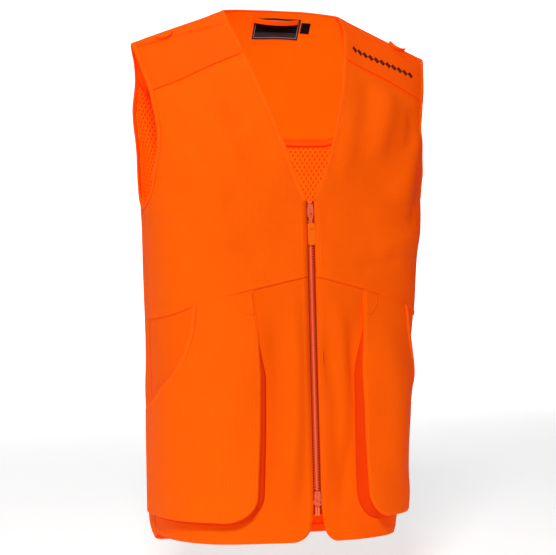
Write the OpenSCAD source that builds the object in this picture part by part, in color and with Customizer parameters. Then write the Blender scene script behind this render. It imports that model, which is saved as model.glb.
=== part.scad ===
// Blaze orange sleeveless field vest: zipped V-neck fronts, mesh-lined back, two side-entry bellows pockets.
// Millimetres. Z up, the fronts face -Y, the wearer's left is +X. The origin is the middle of the hang loop.

/* [Body] */
// Half width of the body at the hem
hem_half = 165; // [150:1:185]
// Outward lean of the side seams, mm of width for each mm of height
side_lean = 0.0717; // [0.03:0.0001:0.11]
// Height of the armhole's lowest point above the back hem
armhole_z = 470; // [440:1:500]
// Height of the front hem above the back hem
front_hem_z = 24; // [0:1:40]
// Depth of the chest from the shoulder line to the zip
chest_depth = 112; // [90:1:130]
// Growth of that depth toward the hem, mm for each mm of height
front_lean = 0.0703; // [0.02:0.0001:0.1]
// Roundness of the body section, 2 is an ellipse
roundness = 2.8; // [2.2:0.1:3.4]
// Shoulder line's height on the middle plane
crest_z = 762.5; // [740:0.5:780]
// Fall of the shoulder line, mm for each mm outward
shoulder_fall = 0.43; // [0.3:0.01:0.6]

/* [Neck] */
// Half width of the neck opening
neck_half = 84; // [74:1:94]
// Height of the V's point
vee_z = 468; // [440:1:500]
// Drop of the back neck under the shoulder line
back_neck_drop = 19.5; // [10:0.5:30]
// Width of the neck and armhole bindings
binding_w = 6; // [4:0.5:9]

/* [Cloth] */
// Thickness of a panel with its lining
cloth_t = 1.6; // [1:0.1:2.4]
// Gap at a seam between two panels of one body
seam_gap = 0.4; // [0.2:0.1:0.8]
// Gap at a seam where a front meets the back body
body_gap = 1; // [0.8:0.1:1.6]

/* [Pockets] */
// Height of the pocket's lower edge
pocket_z = 54; // [40:1:80]
// Distance from the middle to the pocket's inner edge
pocket_in = 71; // [60:1:85]
// Radius of the pocket's lower inner corner
pocket_r = 35; // [20:1:50]
// How far the pocket stands off at its lower inner corner
pocket_deep = 17; // [10:1:25]
// How far it stands off at the side seam
pocket_side = 9; // [5:1:14]
// How far the gusset wall sits back under the pocket's edge
gusset_in = 5; // [3:0.5:9]

/* [Zip] */
// Height of the chain's lower end
chain_low = 90.5; // [85:0.5:100]
// Height of the chain's upper end
chain_high = 449.5; // [440:0.5:455]
// Distance from one tooth to the next on one side
tooth_pitch = 3.6; // [3:0.1:4.2]
// Width of the closed chain
chain_w = 6.1; // [5:0.1:7]
// Width of each tape
tape_w = 15; // [12:1:18]

/* [Hanging and marks] */
// Length of the hang loop
loop_len = 67; // [50:1:80]
// Height of the hang loop's strap
loop_w = 7; // [5:0.5:10]
// Width of the neck label
label_w = 68; // [50:1:80]
// Height of the neck label
label_h = 27; // [20:1:35]

/* [Hidden] */
$fn = 32;
hook = [0, 30.2, 730];
half_t = cloth_t / 2;
pw = 2 / roundness;
back_depth = [[0, 105], [50, 104], [200, 97], [350, 92], [460, 95], [560, 100], [800, 100]];
wide_top = [[487, 0], [561, 0.5], [640, -1.2], [690, -1.7], [800, -5]];
// Armhole edge as [height, turn]: the turn is 0 on the middle plane and 90 on the side seam.
arm_front = [[470, 90], [473, 86.4], [480, 82.6], [490, 79.4], [506, 75.6], [528, 69.8], [545, 66],
    [561, 63.8], [582, 62.8], [600, 62.8], [618, 63.6], [640, 67.4], [667, 73], [684, 77.5], [700, 80]];
arm_back = [[470, 90], [473, 87.2], [480, 84], [490, 80.6], [500, 77.8], [530, 70.6], [560, 66], [587, 63.8],
    [620, 62.6], [635, 63], [650, 65], [665, 68.4], [684, 77.5], [700, 80]];
mouth = [[197, 90], [206, 83], [218, 76], [242, 62.2], [270, 54.4], [298, 50.2], [336, 48.6]];
chest_seam = [[0, 375], [80, 356], [151, 335], [187, 317], [230, 300]];
yoke_seam = [[60, 679], [74, 673], [110, 658], [150, 640], [190, 619], [220, 601]];
lap_row = [0, 0.16, 0.312, 0.4, 0.486, 0.506, 0.54, 0.58, 0.632, 0.7, 0.79, 0.89, 1];
side = 89.975;
orange = [1, 0.4, 0.05];
red_orange = [1, 0.36, 0.03];
black = [0.08, 0.08, 0.09];

function lerp(a, b, u) = a + (b - a) * u;
function half_width(z) = hem_half + side_lean * (z - 24) + (z > 487 ? lookup(z, wide_top) : 0);
function crest(x) = crest_z - shoulder_fall * (sqrt(x * x + 900) - 30);
function turn_at(x, z) = asin(pow(min(1, abs(x) / half_width(z)), 1 / pw)) * sign(x);
function x_at(turn, z) = half_width(z) * pow(sin(abs(turn)), pw) * sign(turn);
function front_depth(z) = chest_depth + front_lean * max(0, 465 - z);

// A point of the body: its turn round the body, its height, -1 for the front or 1 for the back, and how far it
// stands out from the body's middle surface.
function on_body(turn, z, w, out) =
    let (c = pow(sin(abs(turn)), pw), s = pow(max(0, cos(turn)), pw), a = half_width(z), x = a * c,
        reach = w < 0 ? 285 : 285 - 125 * min(1, pow(x / 190, 2)),
        g = pow(sin(90 * min(1, max(0, crest(x) - z) / reach)), 0.714),
        b = w < 0 ? front_depth(z) : lookup(z, back_depth))
    [sign(turn) * c * (a + out), 8 + w * s * g * (b + out), z + out * sqrt(max(0, 1 - g * g))] - hook;

// A sheet between two offsets: rows of [turn, height, side, extra stand-off].
module sheet(rows, low, high) {
    n = len(rows[0]);
    m = len(rows);
    points = [for (o = [low, high]) for (r = rows) for (p = r)
        on_body(p[0], p[1], p[2], o + (len(p) > 3 ? p[3] : 0))];
    top = n * m;
    inner = [for (j = [0 : m - 2]) for (i = [0 : n - 2]) let (k = j * n + i)
        each [[k, k + 1, k + n + 1], [k, k + n + 1, k + n]]];
    outer = [for (f = inner) [f[2] + top, f[1] + top, f[0] + top]];
    ring = concat([for (i = [0 : n - 1]) i], [for (j = [1 : m - 1]) j * n + n - 1],
        [for (i = [n - 2 : -1 : 0]) (m - 1) * n + i], [for (j = [m - 2 : -1 : 1]) j * n]);
    k = len(ring);
    sides = [for (i = [0 : k - 1]) let (a = ring[i], b = ring[(i + 1) % k])
        each [[b, a, a + top], [b, a + top, b + top]]];
    polyhedron(points, concat(inner, outer, sides));
}

// A bar through a list of four-point sections.
module bar(sections) {
    m = len(sections);
    points = [for (s = sections) each s];
    walls = [for (j = [0 : m - 2]) for (i = [0 : 3]) let (a = j * 4 + i, b = j * 4 + (i + 1) % 4)
        each [[a, a + 4, b + 4], [a, b + 4, b]]];
    e = (m - 1) * 4;
    polyhedron(points, concat(walls, [[0, 1, 2], [0, 2, 3], [e + 2, e + 1, e], [e + 3, e + 2, e]]));
}

module mirrored() { mirror([1, 0, 0]) children(); }

// Neckline of a front: distance from the middle at a height.
function neck_x(z) = neck_half * pow(min(1, max(0, z - vee_z) / 248), 0.8);
function front_edge(z) = z < vee_z ? 5.5 : max(5.5, neck_x(z) + binding_w + 1);
function back_neck_d(x) = back_neck_drop * pow(max(0, 1 - pow(abs(x) / neck_half, 2)), 0.7);

// Armhole edges moved in by the binding, as a turn at a height.
function arm_in(z, table) = lookup(z + 6 * max(0, 1 - (z - 464) / 26), table)
    - 3.9 * min(1, max(0, z - 464) / 20);

module chest_panel() {
    rows = [for (v = lap_row)
        let (zl = lerp(375, 673, v), zr = lerp(317, 619, v),
            t0 = turn_at(front_edge(zl), zl),
            t1 = zr < 464 ? side : min(side, arm_in(zr, arm_front)))
        [for (i = [0 : 8]) let (t = lerp(t0, t1, i / 8),
            x0 = x_at(lerp(0.5, 90, i / 8), 340), x1 = x_at(lerp(turn_at(81, 673), 59.7, i / 8), 640),
            z = lerp(lookup(x0, chest_seam) + seam_gap, lookup(x1, yoke_seam) - body_gap, v))
            [t, z, -1]]];
    sheet(rows, -half_t, half_t);
}

// Inner edge of a lower front, with the round hem corner and the spread under the zip.
function hem_edge(z) = let (r = 18, spread = 5.5 + 8 * pow(max(0, 74 - z) / 50, 1.4), k = z - front_hem_z)
    spread + (k < r ? r - sqrt(r * r - (r - k) * (r - k)) : 0);

module lower_front() {
    rows = [for (k = [0, 1.2, 4.5, 10, 18, 40, 75, 150, 250, 351])
        let (v = k / 351)
        [for (i = [0 : 8]) let (zl = front_hem_z + k, t0 = turn_at(hem_edge(zl), zl), t = lerp(t0, side, i / 8),
            x = x_at(t, 340), z = lerp(front_hem_z, lookup(x, chest_seam) - seam_gap, v))
            [t, z, -1]]];
    sheet(rows, -half_t, half_t);
}

// Pocket: inner edge at a height, and its stand-off.
function pocket_x(z) = z < pocket_z + pocket_r
    ? pocket_in + pocket_r - sqrt(max(0, pocket_r * pocket_r - pow(pocket_z + pocket_r - z, 2)))
    : lookup(z, [[89, pocket_in], [170, pocket_in - 2], [243, pocket_in - 2], [289, pocket_in + 1],
        [320, pocket_in + 5], [356, pocket_in + 9]]);
function pocket_out(turn, z) = let (k = max(0, 340 - z) / (340 - pocket_z), u = min(1, max(0, turn - 18) / 72))
    1.4 + pow(k, 0.7) * lerp(pocket_deep, pocket_side, u);
function mouth_turn(z) = z < 197 ? 89.8 : min(89.8, lookup(z, mouth));

module pocket_panel() {
    rows = [for (z = [54, 55.5, 60, 68, 89, 130, 175, 194, 201, 210, 224, 242, 270, 300, 335])
        let (t0 = turn_at(pocket_x(z), z), m = mouth_turn(z), t1 = z < 195 ? m : m - 3.3 - 1.6 * max(0, 260 - z) / 60)
        [for (i = [0 : 7]) let (t = lerp(t0, t1, i / 7), zz = z + (z > 300
            ? lookup(x_at(t, 340), chest_seam) - 0.5 - 335 : z > 242 ? (z - 242) / 93
            * (lookup(x_at(t, 340), chest_seam) - 335.5) : 0))
            [t, zz, -1, pocket_out(t, zz)]]];
    sheet(rows, 0, 1.4);
}

module pocket_mouth_binding() {
    rows = [for (z = [199.8, 204, 210, 224, 242, 270, 300, 334])
        let (m = mouth_turn(z), t0 = m - 3.1 - 1.6 * max(0, 260 - z) / 60)
        [for (t = [t0, m]) [t, z - (t == t0 ? 0 : 1), -1, pocket_out(t, z)]]];
    sheet(rows, -0.3, 1.8);
}

module pocket_gusset() {
    r = pocket_r - gusset_in;
    cx = pocket_in + pocket_r;
    cz = pocket_z + pocket_r;
    path = concat([for (z = [322, 285, 245, 205, 165, 125, cz]) [pocket_x(z) + gusset_in, z, 1, 0]],
        [for (q = [18 : 18 : 90]) [cx - r * cos(q), cz - r * sin(q), cos(q), sin(q)]],
        [for (t = [42 : 8 : 82]) [x_at(t, 60), pocket_z + gusset_in, 0, 1]],
        [[x_at(86.5, 60), pocket_z + gusset_in, 0, 1]]);
    side = [for (z = [pocket_z + 7, 90, 140, 190]) [z, 87.6]];
    front = [for (p = path) let (t = turn_at(p[0], p[1]), o = max(1.7, pocket_out(t, p[1]) - 0.4),
            q = turn_at(p[0] + 1.3 * p[2], p[1]), z = p[1] + 1.3 * p[3])
        [on_body(t, p[1], -1, 1.1), on_body(t, p[1], -1, o), on_body(q, z, -1, o), on_body(q, z, -1, 1.1)]];
    flank = [for (s = side) let (o = max(1.7, pocket_out(88, s[0]) - 0.4))
        [on_body(88.3, s[0] - 2, -1, 1.1), on_body(88.3, s[0] - 2, -1, o),
            on_body(87.6, s[0], -1, o), on_body(87.6, s[0], -1, 1.1)]];
    bar(concat(front, flank));
}

module pocket_corner_patch() {
    rows = [for (j = [0 : 6]) let (q = j / 6)
        [for (i = [0 : 2]) let (z0 = 323 + 28 * q,
            x = lerp(pocket_x(z0) + 1, pocket_x(z0) + 3 + 18 * sqrt(1 - pow(1 - q, 2)), i / 2),
            z = z0 - 0.12 * (x - 78), t = turn_at(x, z))
            [t, z, -1, pocket_out(t, z)]]];
    sheet(rows, 1.7, 2.7);
}

module neck_binding() {
    rows = [for (z = [474, 479, 487, 500, 520, 550, 585, 620, 650, 672.4])
        [for (i = [0, 1]) let (x = neck_x(z) + i * (binding_w + 0.6), zz = z - i * (z > 660 ? 3.4 : 0))
            [turn_at(x, zz), zz, -1]]];
    sheet(rows, -1.2, 1.2);
}

function arm_strip(z, table) = [[arm_in(z, table) + 0.25, z], [min(89.8, lookup(z, table)), z]];

module armhole_binding() {
    low = [for (p = [[89.8, 464.4, 89.8, 470], [86, 465, 86.6, 473], [81, 470, 82.9, 479.5]])
        [[p[0], p[1], -1], [p[2], p[3], -1]]];
    high = [for (z = [490, 506, 528, 545, 561, 582, 600, 617.6])
        [for (p = arm_strip(z, arm_front)) [p[0], z > 610 ? p[1] + (p[0] < 61 ? 2.2 : 0) : p[1], -1]]];
    sheet(concat(low, high), -1.2, 1.2);
}

module back_armhole_binding() {
    front = [for (z = [621, 632, 645, 657, 668, 676])
        [for (p = arm_strip(z, arm_front)) [p[0], z < 622 ? p[1] + (p[0] < 61 ? 1.6 : 0) : p[1], -1]]];
    over = [for (e = [-4, -1.2, 0, 1.2, 4, 10])
        [for (k = [0, 1]) let (t = k == 0 ? 73.9 + abs(e) * -0.1 : 78 - abs(e) * 0.12,
            z = crest(x_at(t, 684)) - abs(e)) [t, z, e < 0 ? -1 : 1]]];
    back = [for (z = [665, 650, 635, 610, 587, 560, 530, 500, 490])
        [for (p = arm_strip(z, arm_back)) [p[0], p[1], 1]]];
    low = [for (p = [[81.2, 470, 84.2, 479.5], [86, 465, 87.2, 473], [89.8, 464.4, 89.8, 470]])
        [[p[0], p[1], 1], [p[2], p[3], 1]]];
    sheet(concat(front, over, back, low), -1.2, 1.2);
}

module front_yoke() {
    rows = [for (v = [0, 0.3, 0.55, 0.75, 0.9, 1])
        [for (i = [0 : 6]) let (u = i / 6,
            x0 = lerp(81.3, 184, u), x1 = lerp(neck_half + 7.2, 199, u),
            x = lerp(x0, x1, v), z = lerp(lookup(x0, yoke_seam) + 0.2, crest(x1) - lerp(20, 7, u), v),
            t = i < 6 ? turn_at(x, z) : arm_in(z, arm_front))
            [t, z, -1]]];
    sheet(rows, -half_t, half_t);
}

// Back yoke: the columns run from the forward shoulder seam, or the back neck, down to the yoke's lower seam.
yoke_top = [[199, -6], [172, -9.4], [145, -12.6], [118, -15.6], [91.8, -19], [91.4, -7], [90.4, 0.6], [87, 7.4],
    [74, 16.4], [52, 22.6], [26, 25.7], [0, 26.6]];
yoke_low = [183, 168, 151, 133, 115, 102, 90, 77, 62, 42, 21, 0];

// The yoke's lower seam is level across the middle and rises toward the armholes.
function yoke_rise(x) = 82 * pow(max(0, abs(x) - 96) / 94, 1.6);

module back_yoke() {
    cols = concat([for (i = [0 : 11]) [-1, i]], [for (i = [10 : -1 : 0]) [1, i]]);
    rows = [for (v = [0, 0.1, 0.2, 0.3, 0.4, 0.52, 0.66, 0.82, 1])
        [for (c = cols) let (p = yoke_top[c[1]], xb = yoke_low[c[1]], x = lerp(p[0], xb, v),
            low = 568 + yoke_rise(xb), e = lerp(p[1], crest(xb) - low, v * v),
            z = crest(x) - abs(e), t = c[1] > 0 ? turn_at(x, z)
                : e < 4 ? 73.5 - abs(e) * 0.1 : min(73.1, arm_in(z, arm_back) - 0.1))
            [c[0] * t, z, e < 0 ? -1 : 1]]];
    sheet(rows, -half_t, half_t);
}

function back_top(x) = 568 + yoke_rise(x) - seam_gap;

// Rows of the back from its top edge to its lower edge: the side starts at side_top, the lower edge rises to low_side.
function back_rows(drop, side_top, low, low_side, inset) =
    [for (v = [0, 0.05, 0.11, 0.165, 0.214, 0.243, 0.263, 0.281, 0.2925, 0.4, 0.52, 0.64, 0.76, 0.88, 1])
        let (ze = lerp(side_top, low_side, v), te = (ze < 464 ? side : min(side, arm_in(ze, arm_back))) - inset)
        [for (i = [-8 : 8]) let (u = abs(i) / 8, x = abs(x_at(62 * u, 600)),
            z = lerp(u == 1 ? side_top : back_top(x) - drop, lerp(low, low_side, pow(u, 2.6)), v))
            [te * i / 8, z, 1]]];

module back_panel() { sheet(back_rows(1.4, 642.4, 0, 22, 0), -half_t, half_t); }

module back_mesh_lining() { sheet(back_rows(13, 627, 60, 74, 1.8), -4, -3); }

module back_hem_facing() {
    rows = [for (k = [0, 1])
        [for (i = [-8 : 8]) let (u = abs(i) / 8)
            [88 * i / 8, lerp(12, 1, k) + 22 * pow(u, 2.6), 1]]];
    sheet(rows, -2, -1.2);
}

module yoke_seam_tape() {
    rows = [for (k = [0, 1])
        [for (i = [-10 : 10]) let (x = 17.6 * i, z = 573 + yoke_rise(x) - 11 * k)
            [turn_at(x, z), z, 1]]];
    sheet(rows, -2.4, -1.4);
}

module back_neck_binding() {
    front = [for (z = [676.5, 690, 703, 716, 726, 732])
        [[turn_at(neck_x(z), z), z, -1],
            [turn_at(neck_x(z) + binding_w + 0.5, z), z - (z < 680 ? 2.6 : 0) - (z > 720 ? 2 : 0), -1]]];
    over = [for (q = [[84, -1.6, 90, -2], [84, 0, 89.8, 0.4], [83.4, 1.4, 87.6, 6.4], [81, 5, 80, 12.4]])
        [[turn_at(q[0], 730), crest(q[0]) - abs(q[1]), q[1] < 0 ? -1 : 1],
            [turn_at(q[2], 730), crest(q[2]) - abs(q[3]), q[3] < 0 ? -1 : 1]]];
    back = [for (x = [70, 56, 40, 22]) [[turn_at(x, 735), crest(x) - back_neck_d(x), 1],
        [turn_at(x * 0.97, 730), crest(x * 0.97) - back_neck_d(x) - 6, 1]]];
    half = concat(front, over, back);
    other = [for (j = [len(half) - 1 : -1 : 0]) [for (p = half[j]) [-p[0], p[1], p[2]]]];
    mid = [[[0, crest(0) - back_neck_d(0), 1], [0, crest(0) - back_neck_d(0) - 6, 1]]];
    sheet(concat(half, mid, other), -1.2, 1.2);
}

module hang_loop() {
    arc = [for (i = [0 : 14]) let (u = i / 7 - 1) [u * loop_len / 2, -6.5 + 6.5 * pow(abs(u), 2.2)]];
    outline = concat(arc, [for (i = [14 : -1 : 0]) arc[i] + [0, 1.3]]);
    translate([0, 30.05, 730] - hook) rotate([34.5, 0, 0]) translate([0, -0.65, -loop_w / 2])
        linear_extrude(loop_w) polygon(outline);
}

module neck_label() {
    rows = [for (k = [0 : 3]) [for (i = [-3 : 3]) let (x = label_w / 6 * i, z = 735 - label_h / 3 * k)
        [turn_at(x, z), z - 0.04 * abs(x), 1]]];
    sheet(rows, -2, -1.2);
}

module size_tag() {
    rows = [for (k = [0 : 2]) [for (i = [0 : 2]) let (x = 36 + 6.25 * i, z = 730.5 - 6.75 * k)
        [turn_at(x, z), z - 0.04 * x, 1]]];
    sheet(rows, -2, -1.2);
}

// A plain row of linked diamonds in place of a printed name.
module shoulder_print() {
    n = 22;
    rows = [for (k = [-1, 1]) [for (i = [0 : n]) let (x = lerp(90, 178, i / n),
        z = lerp(689, 655, i / n) + k * (i % 2 == 0 ? 0.9 : 4.6)) [turn_at(x, z), z, -1]]];
    sheet(rows, half_t + 0.3, half_t + 0.8);
}

// A strap loop that bows forward and down over the front of the shoulder, standing on its edge.
module shoulder_loop() {
    x0 = 171.5;
    outer = [for (i = [0 : 12]) let (u = i / 6 - 1) [13 * u, 7 * (1 - pow(abs(u), 2.4))]];
    inner = [for (i = [12 : -1 : 0]) let (u = i / 6 - 1) [i == 0 || i == 12 ? 13 * u : 12.5 * u,
        max(-1.3, 5.8 - 7.6 * pow(abs(u), 2.4))]];
    translate([x0, -2.1 - hook[1], crest(x0) - 1.2 - hook[2]]) rotate([0, 23, 0]) rotate([-135, 0, 0])
        translate([0, 0, -2.5]) linear_extrude(5) polygon(concat(outer, inner));
}

// Zip parts stand on the zip's own line: local Z runs up the chain, local -Y faces out.
module on_zip() {
    translate(-hook) translate([0, 8 - front_depth(24), 24]) rotate([-atan(front_lean), 0, 0]) children();
}
function along(z) = (z - 24) / cos(atan(front_lean));

module zip_tape() {
    high = along(473);
    low = along(60);
    on_zip() translate([0, 1.9, 0]) rotate([90, 0, 0]) linear_extrude(0.8)
        polygon([[1.8, along(90.2)], [1.8, along(449.8)], [6.6, along(449.8)], [6.6, along(469.4)],
            [1.8, along(469.4)], [1.8, high], [tape_w, high], [tape_w, low], [1.8, low], [1.8, along(71.6)],
            [6.6, along(71.6)], [6.6, along(90.2)]]);
}

// One half of the chain: a corded edge with a tooth at each pitch, the other half sits half a pitch off.
module zip_teeth(shift) {
    n = floor((along(chain_high) - along(chain_low) - 2) / tooth_pitch);
    z0 = along(chain_low) + 0.4 + shift;
    edge = [for (i = [0 : n - 1]) each [[1.5, z0 + i * tooth_pitch], [-1.3, z0 + i * tooth_pitch + 0.25],
        [-1.3, z0 + i * tooth_pitch + 1.25], [1.5, z0 + i * tooth_pitch + 1.5]]];
    z1 = z0 + (n - 1) * tooth_pitch + 1.9;
    on_zip() translate([0, 2.8, 0]) rotate([90, 0, 0]) {
        difference() {
            linear_extrude(2.6) polygon(concat([[chain_w / 2, z0 - 0.3], [1.5, z0 - 0.3]], edge,
                [[1.5, z1], [chain_w / 2, z1]]));
            translate([0.7, 0, 0.6]) linear_extrude(1.4) square([3, 1000]);
        }
    }
}

module stop(z, h) { on_zip() translate([0.9, 0.2, along(z)]) cube([2, 2.6, h]); }

// One plate of a slider: a shield shape with a wide mouth and a narrow tail.
module slider_plate(y, t) {
    translate([0, y + t, 0]) rotate([90, 0, 0]) linear_extrude(t)
        polygon([[-3.6, 0], [3.6, 0], [4.3, 5], [4.3, 11], [3.2, 17.6], [-3.2, 17.6], [-4.3, 11], [-4.3, 5]]);
}

// The outer plate with the bridge that carries the pull.
module slider_front() {
    slider_plate(-1.4, 1.3);
    translate([1.1, 0, 0]) rotate([0, -90, 0]) linear_extrude(2.2)
        difference() {
            polygon([[4.2, -1], [4.2, -3.5], [5.6, -4.5], [11.6, -4.5], [13, -3.5], [13, -1]]);
            polygon([[5.6, -1.39], [5.6, -3.4], [11.6, -3.4], [11.6, -1.39]]);
        }
}

module slider_at(z, up) { on_zip() translate([0, 0, along(z)]) mirror([0, 0, up]) children(); }

module pull_link() {
    rotate([90, 0, 0]) translate([0, 0, -0.5]) linear_extrude(1)
        difference() {
            union() {
                translate([-2.9, -9]) square([5.8, 9.5]);
                translate([-1.9, -13.6]) square([3.8, 5]);
            }
            translate([-1.6, -7.4]) square([3.2, 6.9]);
        }
}

module pull_tab() {
    rotate([90, 0, 0]) translate([0, 0, -1.1]) linear_extrude(2.2)
        difference() {
            union() {
                translate([-4.6, -43]) square([9.2, 27]);
                translate([-3.4, -44.2]) square([6.8, 29.4]);
                translate([-2.4, -14.9]) square([4.8, 0.8]);
            }
            translate([-2.6, -23]) square([5.2, 0.9]);
        }
}

module pull_ring() {
    rotate([90, 0, 0]) translate([0, 0, -0.5]) linear_extrude(1)
        difference() {
            translate([0, -4.1]) scale(1) union() {
                translate([-1.6, 0]) circle(4.6);
                translate([1.6, 0]) circle(4.6);
                translate([-1.6, -4.6]) square([3.2, 9.2]);
            }
            translate([0, -4.1]) union() {
                translate([-1.6, 0]) circle(3.4);
                translate([1.6, 0]) circle(3.4);
                translate([-1.6, -3.4]) square([3.2, 6.8]);
            }
        }
}

module puller_at(z) { on_zip() translate([0, -2.35, along(z)]) children(); }

color(red_orange) back_yoke();
color(orange) back_panel();
color(orange) back_mesh_lining();
color(orange) back_hem_facing();
color(orange) yoke_seam_tape();
color(orange) back_neck_binding();
color(orange) hang_loop();
color(black) neck_label();
color(black) size_tag();
color([0.45, 0.2, 0.08]) shoulder_print();
color(red_orange) front_yoke();  // left_front_yoke
color(red_orange) mirrored() front_yoke();  // right_front_yoke
color(orange) shoulder_loop();  // left_shoulder_loop
color(orange) mirrored() shoulder_loop();  // right_shoulder_loop
color(orange) back_armhole_binding();  // left_back_armhole_binding
color(orange) mirrored() back_armhole_binding();  // right_back_armhole_binding
color(orange) chest_panel();  // left_chest_panel
color(orange) mirrored() chest_panel();  // right_chest_panel
color(red_orange) lower_front();  // left_lower_front
color(red_orange) mirrored() lower_front();  // right_lower_front
color(orange) pocket_panel();  // left_pocket_panel
color(orange) mirrored() pocket_panel();  // right_pocket_panel
color(red_orange) pocket_gusset();  // left_pocket_gusset
color(red_orange) mirrored() pocket_gusset();  // right_pocket_gusset
color(orange) pocket_mouth_binding();  // left_pocket_mouth_binding
color(orange) mirrored() pocket_mouth_binding();  // right_pocket_mouth_binding
color(orange) pocket_corner_patch();  // left_pocket_corner_patch
color(orange) mirrored() pocket_corner_patch();  // right_pocket_corner_patch
color(orange) neck_binding();  // left_neck_binding
color(orange) mirrored() neck_binding();  // right_neck_binding
color(orange) armhole_binding();  // left_armhole_binding
color(orange) mirrored() armhole_binding();  // right_armhole_binding
color(red_orange) zip_tape();  // left_zip_tape
color(red_orange) mirrored() zip_tape();  // right_zip_tape
color([1, 0.42, 0.27]) zip_teeth(0);  // left_zip_teeth
color([1, 0.42, 0.27]) mirrored() zip_teeth(tooth_pitch / 2);  // right_zip_teeth
color([1, 0.42, 0.27]) stop(469.8, 3.2);  // left_top_stop
color([1, 0.42, 0.27]) mirrored() stop(469.8, 3.2);  // right_top_stop
color([1, 0.42, 0.27]) stop(58, 13);  // left_zip_pin
color([1, 0.42, 0.27]) mirrored() stop(58, 13);  // right_zip_pin
color([1, 0.42, 0.27]) slider_at(451, 0) slider_front();  // top_slider_front
color([1, 0.42, 0.27]) slider_at(451, 0) slider_plate(3.1, 1.2);  // top_slider_back
color([1, 0.42, 0.27]) puller_at(457.8) pull_link();  // top_pull_link
color([1, 0.5, 0.2]) puller_at(457.8) pull_tab();  // top_pull_tab
color([1, 0.42, 0.27]) slider_at(89.6, 1) slider_front();  // bottom_slider_front
color([1, 0.42, 0.27]) slider_at(89.6, 1) slider_plate(3.1, 1.2);  // bottom_slider_back
color([1, 0.42, 0.27]) puller_at(79.6) pull_ring();  // bottom_pull_ring
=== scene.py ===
import math
import bmesh
import bpy
import numpy as np
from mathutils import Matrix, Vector


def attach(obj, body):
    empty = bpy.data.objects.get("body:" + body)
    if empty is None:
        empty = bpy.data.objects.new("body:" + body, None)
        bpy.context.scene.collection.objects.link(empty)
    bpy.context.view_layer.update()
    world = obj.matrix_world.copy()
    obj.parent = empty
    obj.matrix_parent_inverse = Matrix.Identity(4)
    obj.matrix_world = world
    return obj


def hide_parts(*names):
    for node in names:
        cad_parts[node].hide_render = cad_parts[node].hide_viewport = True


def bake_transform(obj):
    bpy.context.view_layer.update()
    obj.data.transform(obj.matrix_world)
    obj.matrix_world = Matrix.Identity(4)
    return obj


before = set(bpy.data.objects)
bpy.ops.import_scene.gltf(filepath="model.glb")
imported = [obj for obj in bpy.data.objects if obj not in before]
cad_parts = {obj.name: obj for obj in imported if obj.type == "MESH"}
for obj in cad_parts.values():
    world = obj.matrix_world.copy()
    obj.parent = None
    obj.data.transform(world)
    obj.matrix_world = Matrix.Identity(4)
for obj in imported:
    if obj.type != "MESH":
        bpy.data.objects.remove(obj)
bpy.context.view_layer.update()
print("frame loaded:", len(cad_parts), "nodes")

# Everything below is worked out in millimetres with the hem at 0, then moved to the hang loop's middle.
hookPoint = np.array([0.0, 30.2, 730.0])
bodyCut = {
    "hemHalf": 165.0, "sideLean": 0.0717, "chestDepth": 112.0, "frontLean": 0.0703, "roundness": 2.8,
    "crestTop": 762.5, "shoulderFall": 0.43, "neckHalf": 84.0, "veeHeight": 468.0, "frontHem": 24.0,
    "bindingWide": 6.2, "armBindingWide": 5.8, "clothThick": 1.0, "lean": 0.036,
}
power = 2.0 / bodyCut["roundness"]


# A table by height, softened with a bell curve so that no kink shows between its entries.
def softTable(pairs, spread=7.0):
    heights, values = zip(*pairs)
    z = np.arange(-80.0, 900.0, 1.0)
    reach = np.arange(-40, 41)
    bell = np.exp(-0.5 * (reach / spread) ** 2)
    soft = np.convolve(np.pad(np.interp(z, heights, values), 40, mode="edge"), bell / bell.sum(), mode="valid")
    return lambda q: np.interp(q, z, soft)


wideTop = softTable([(487, 0), (561, 0.5), (640, -1.2), (690, -1.7), (800, -5)])
backDepth = softTable([(0, 105), (50, 104), (200, 97), (350, 92), (460, 95), (560, 100), (800, 100)], 20.0)
armFront = softTable([(450, 90), (470, 89.4), (473, 86.4), (480, 82.6), (490, 79.4), (506, 75.6), (528, 69.8),
    (545, 66), (561, 63.8), (582, 62.8), (600, 62.8), (618, 63.6), (640, 67.4), (667, 73), (684, 77.5),
    (700, 80)], 2.5)
armBack = softTable([(450, 90), (470, 89.4), (473, 87.2), (480, 84), (490, 80.6), (500, 77.8), (530, 70.6),
    (560, 66), (587, 63.8), (620, 62.6), (635, 63), (650, 65), (665, 68.4), (684, 77.5), (700, 80)], 2.5)
mouthTurn = softTable([(190, 93), (197, 90), (206, 83), (218, 76), (242, 62.2), (270, 54.4), (298, 50.2),
    (336, 48.6), (360, 48)], 3.0)
chestSeam = softTable([(0, 375), (80, 356), (151, 335), (187, 317), (230, 300)], 8.0)
yokeSeam = softTable([(60, 679), (74, 673), (110, 658), (150, 640), (190, 619), (220, 601)], 10.0)


# The yoke's lower seam is level across the middle and rises toward the armholes.
def yokeRise(x):
    return 82 * (np.maximum(0, np.abs(x) - 96) / 94) ** 1.6


def halfWidth(z):
    return bodyCut["hemHalf"] + bodyCut["sideLean"] * (z - 24) + wideTop(z)


def crestAt(x):
    return bodyCut["crestTop"] - bodyCut["shoulderFall"] * (np.sqrt(x * x + 900) - 30)


def turnAt(x, z):
    return np.degrees(np.arcsin(np.minimum(1, np.abs(x) / halfWidth(z)) ** (1 / power))) * np.sign(x)


def xAt(turn, z):
    return halfWidth(z) * np.abs(np.sin(np.radians(turn))) ** power * np.sign(turn)


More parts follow.
